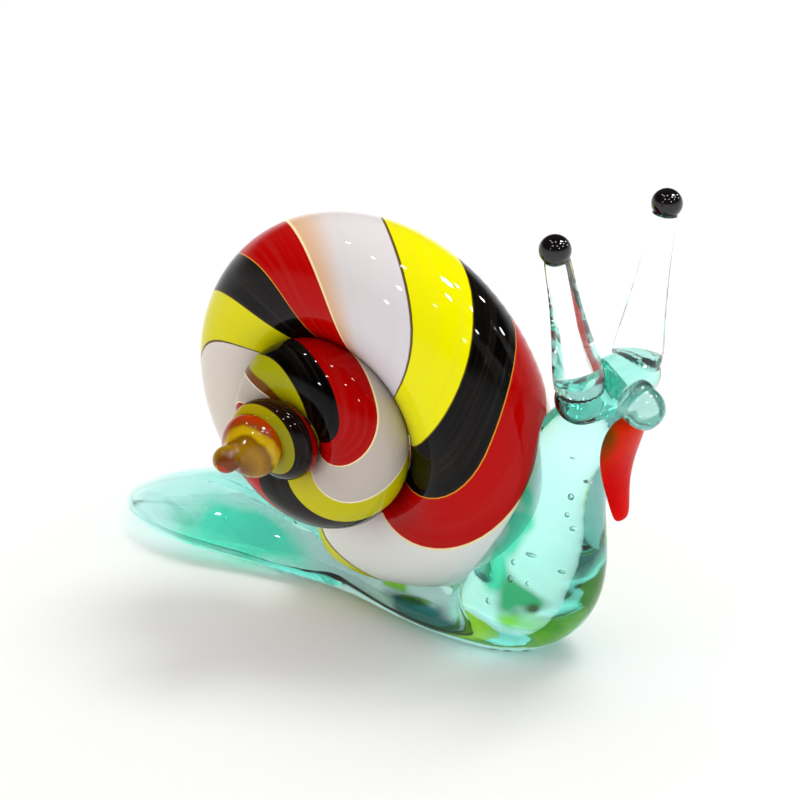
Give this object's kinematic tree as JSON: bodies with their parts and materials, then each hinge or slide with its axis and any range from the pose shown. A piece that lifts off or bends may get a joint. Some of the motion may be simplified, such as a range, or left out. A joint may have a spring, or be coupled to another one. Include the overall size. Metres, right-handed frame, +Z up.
{
  "type": "snail figurine",
  "caption": "Small flameworked glass snail: clear aqua body, shell wound from a twisted cane with white, red, black and yellow stripes, clear tentacles with black eyes and a red tongue",
  "frame": {"origin": "on the flat ground underside of the foot, under the shell axis and in the middle plane of the body", "axes": "+X towards the head, along the length of the body; +Z up from the ground; the shell's spire points towards -Y"},
  "size_m": [0.045, 0.0229, 0.0306],
  "materials": {
    "aqua_glass": "clear aqua glass, fire polished",
    "white_glass": "opal white glass, fire polished",
    "red_glass": "opaque red glass, fire polished",
    "black_glass": "black glass, fire polished",
    "yellow_glass": "opaque yellow glass, fire polished",
    "amber_glass": "clear amber glass, fire polished",
    "clear_glass": "clear colourless glass, fire polished",
    "eye_glass": "black glass, fire polished",
    "tongue_glass": "translucent red glass, fire polished"
  },
  "bodies": {
    "root": {"body": "aqua_glass", "shell_stripe_white": "white_glass", "shell_stripe_red": "red_glass", "shell_stripe_black": "black_glass", "shell_stripe_yellow": "yellow_glass", "apex_knob": "amber_glass", "head_saddle": "aqua_glass", "tentacle_right": "clear_glass", "tentacle_left": "clear_glass", "eye_right": "eye_glass", "eye_left": "eye_glass", "snout_bead": "clear_glass", "tongue": "tongue_glass"}
  },
  "joints": []
}
